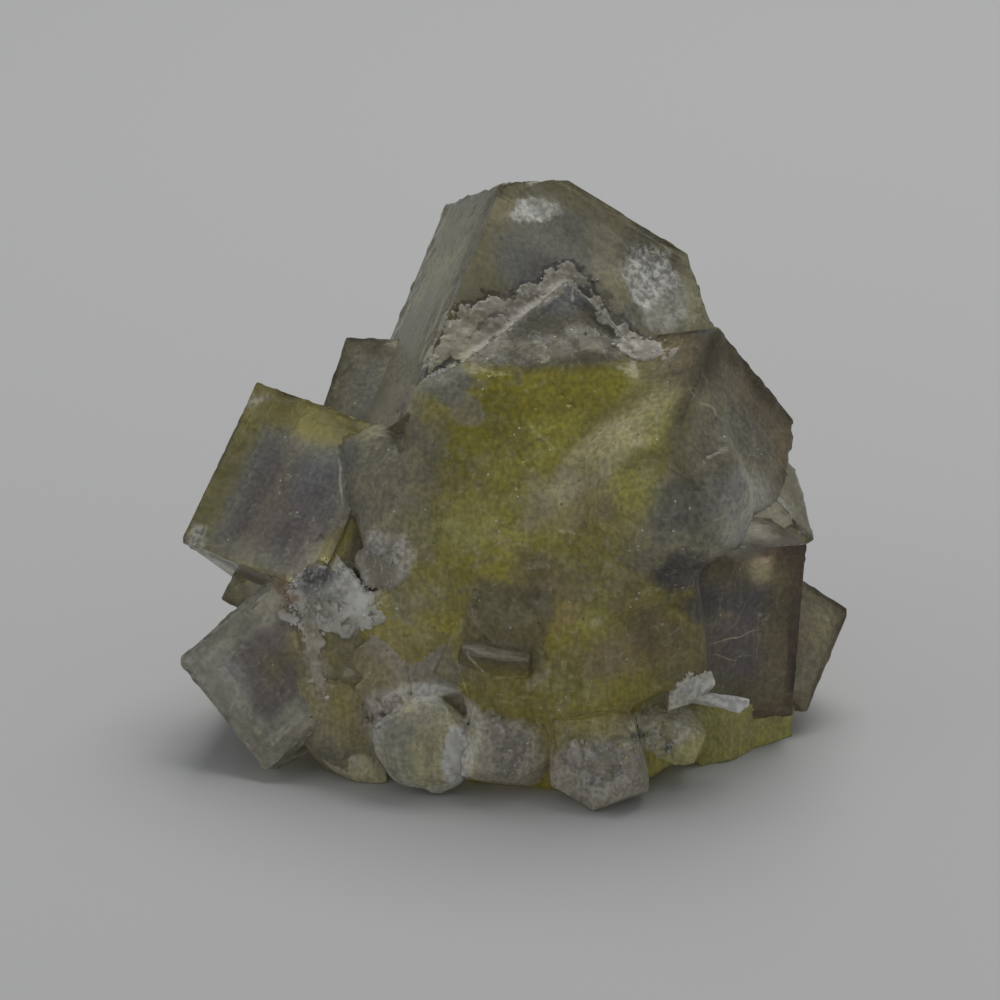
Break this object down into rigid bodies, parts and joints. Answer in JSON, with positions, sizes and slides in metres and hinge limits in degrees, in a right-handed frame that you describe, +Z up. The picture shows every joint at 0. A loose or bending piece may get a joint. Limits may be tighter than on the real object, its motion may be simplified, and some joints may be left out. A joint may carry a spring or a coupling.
{
  "type": "fluorite specimen",
  "caption": "Cluster of intergrown, see-through fluorite cubes around a broken yellow-green heart, on a crusted base that stands on a flat patch.",
  "frame": {"origin": "middle of the footprint's bounding box, on the surface the specimen stands on", "axes": "+Z up, +X to the right across the longest side, +Y away from the broken front"},
  "size_m": [0.0522, 0.0398, 0.0421],
  "materials": {
    "fluorite": "glassy crystal faces, olive-yellow with grey-purple zones, milky and sparkling where it is broken"
  },
  "bodies": {
    "root": {"fluorite_cluster": "fluorite"}
  },
  "joints": []
}
